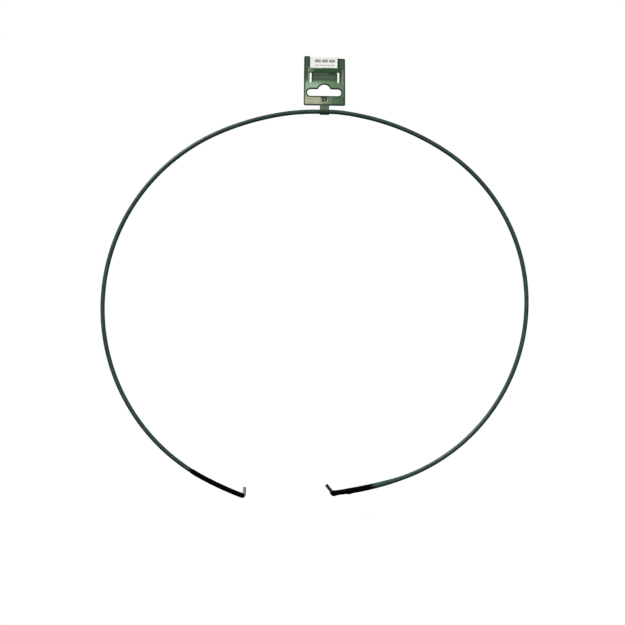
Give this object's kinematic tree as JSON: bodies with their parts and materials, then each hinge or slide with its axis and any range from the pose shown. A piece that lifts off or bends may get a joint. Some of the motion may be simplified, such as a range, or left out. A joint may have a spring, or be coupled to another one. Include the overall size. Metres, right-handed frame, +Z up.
{
  "type": "wreath frame",
  "caption": "Open wire wreath hoop with a plastic coat, black end sleeves and small hooked ends, hung from a moulded tag that straps round its crown and holds a slide-in label.",
  "frame": {"origin": "where a display hook carries the tag: the top of the hanging slot's raised middle, in the middle of the plate", "axes": "+Z up; the hoop hangs in the XZ plane and its front faces -Y; +X to the right seen from the front"},
  "size_m": [0.4013, 0.0107, 0.4142],
  "materials": {
    "wire": "green lacquer over drawn steel",
    "coat": "dark green PVC, satin",
    "sleeve": "black shrink sleeve, matt",
    "tag": "moulded green polypropylene, semi-gloss",
    "label": "coated card, smooth"
  },
  "bodies": {
    "tag": {"hang_tag": "tag"},
    "label": {"label_card": "label"},
    "strap": {"tag_strap": "tag"},
    "crown": {"core_wire_crown": "wire", "green_coat_crown": "coat"},
    "arm_left": {"core_wire_left": "wire", "green_coat_left": "coat", "end_sleeve_left": "sleeve"},
    "arm_right": {"core_wire_right": "wire", "green_coat_right": "coat", "end_sleeve_right": "sleeve"}
  },
  "joints": [
    {"name": "hoop_swing", "type": "hinge", "parent": "tag", "child": "crown", "pos_m": [0.00011, 0, -0.02549], "axis": [0.9998, 0, -0.0175], "continuous": true},
    {"name": "arm_right_flex", "type": "hinge", "parent": "crown", "child": "arm_right", "pos_m": [0.00607, 0, -0.02765], "axis": [0, 1, 0], "range_deg": [0, 8], "stiffness_Nm_per_rad": 3.5, "springref_deg": -1.15},
    {"name": "arm_left_flex", "type": "hinge", "parent": "crown", "child": "arm_left", "pos_m": [-0.00593, 0, -0.02744], "axis": [0, -1, 0], "range_deg": [0, 8], "stiffness_Nm_per_rad": 3.5, "springref_deg": -1.15},
    {"name": "strap_release", "type": "hinge", "parent": "tag", "child": "strap", "pos_m": [0.00006, -0.00024, -0.02836], "axis": [-0.9998, 0, 0.0175], "range_deg": [0, 100]},
    {"name": "label_slide", "type": "slide", "parent": "tag", "child": "label", "axis": [0.0174, 0.0816, 0.9965], "range_m": [0, 0.0155]}
  ],
  "couplings": [
    {"joint": "arm_left_flex", "follows": "arm_right_flex", "ratio": 1}
  ]
}
